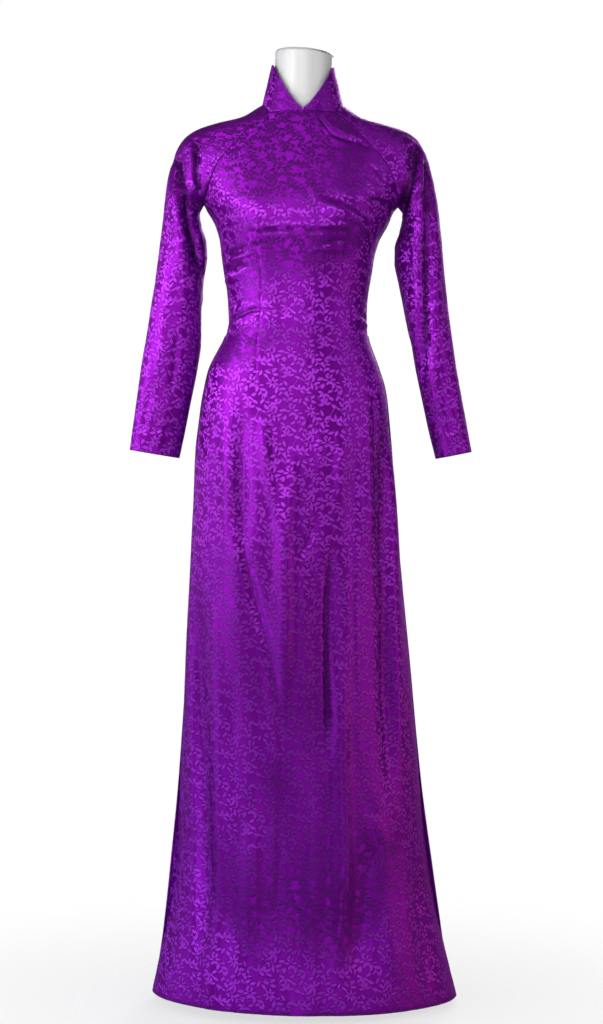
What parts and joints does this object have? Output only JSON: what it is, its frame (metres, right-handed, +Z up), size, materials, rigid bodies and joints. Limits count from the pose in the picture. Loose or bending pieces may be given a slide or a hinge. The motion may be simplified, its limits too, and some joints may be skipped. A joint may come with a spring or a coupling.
{
  "type": "ao dai tunic on a dress form",
  "caption": "Long-sleeved ao dai tunic with a stand collar, raglan sleeves and side slits to the waist, resting on a limbless dress form on a round stand.",
  "frame": {"origin": "centre of the underside of the stand's base", "axes": "+Z up, along the pole and the garment's height. The garment's front faces -Y, and the wearer's right is at -X."},
  "size_m": [0.544, 0.2779, 1.5175],
  "materials": {
    "silk": "purple satin jacquard, tone-on-tone flowers and leaves",
    "form": "smooth white gloss",
    "pole": "brushed tube",
    "base": "white enamel"
  },
  "bodies": {
    "root": {"front_panel": "silk", "back_panel": "silk", "sleeve_left": "silk", "sleeve_right": "silk", "collar": "silk", "dress_form": "form", "stand_pole": "pole", "stand_base": "base"}
  },
  "joints": []
}
